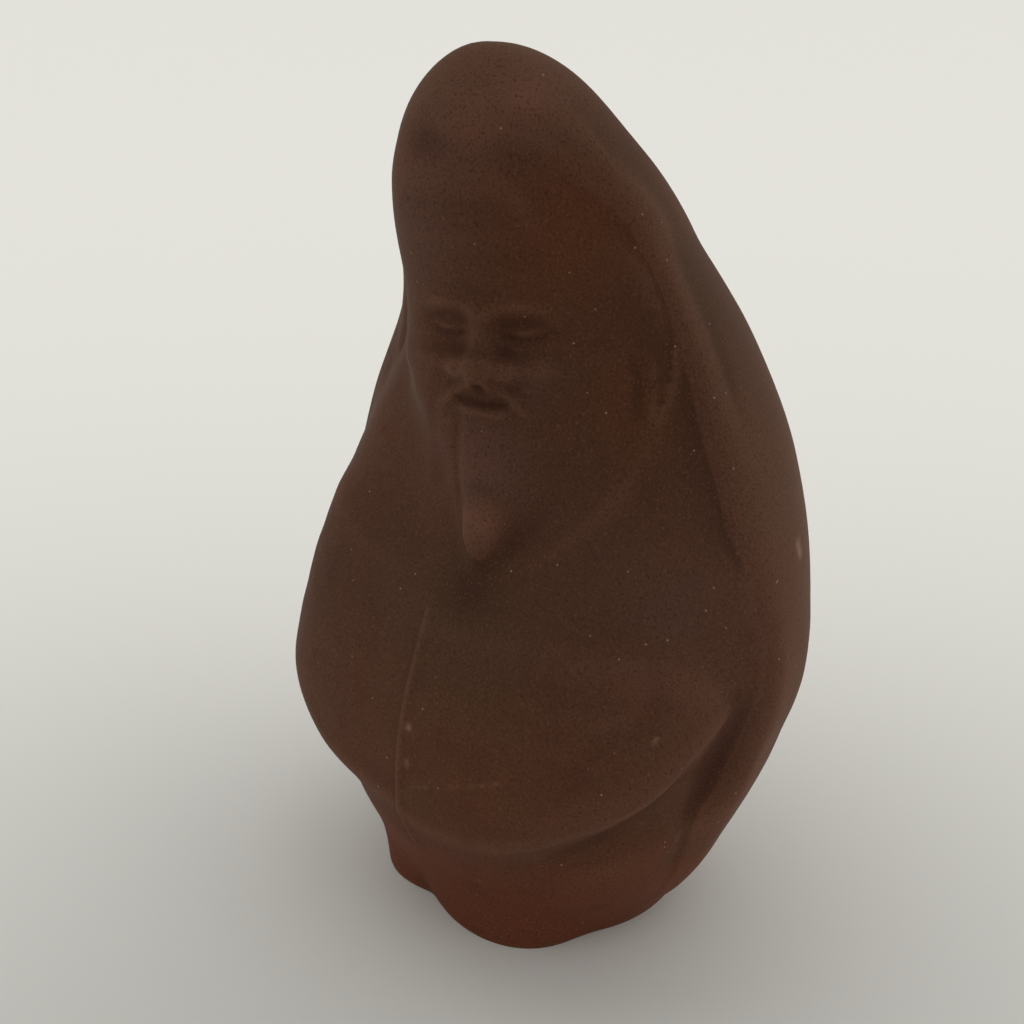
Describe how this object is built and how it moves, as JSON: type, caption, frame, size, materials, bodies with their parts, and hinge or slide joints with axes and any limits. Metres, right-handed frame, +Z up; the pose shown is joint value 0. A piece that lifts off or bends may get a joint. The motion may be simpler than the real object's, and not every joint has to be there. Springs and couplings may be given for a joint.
{
  "type": "ceramic lucky god figurine",
  "caption": "Unglazed red clay figurine of an old man with a tall domed head, long pointed beard and hooded cloak, hands folded in joined sleeves.",
  "frame": {"origin": "on the flat underside, below the middle of the figure", "axes": "+Z up, from the underside to the crown; the figure faces -Y, and its left side is +X"},
  "size_m": [0.077, 0.064, 0.12],
  "materials": {
    "red_clay": "unglazed, dull with a faint sheen"
  },
  "bodies": {
    "root": {"lucky_god_figurine": "red_clay"}
  },
  "joints": []
}
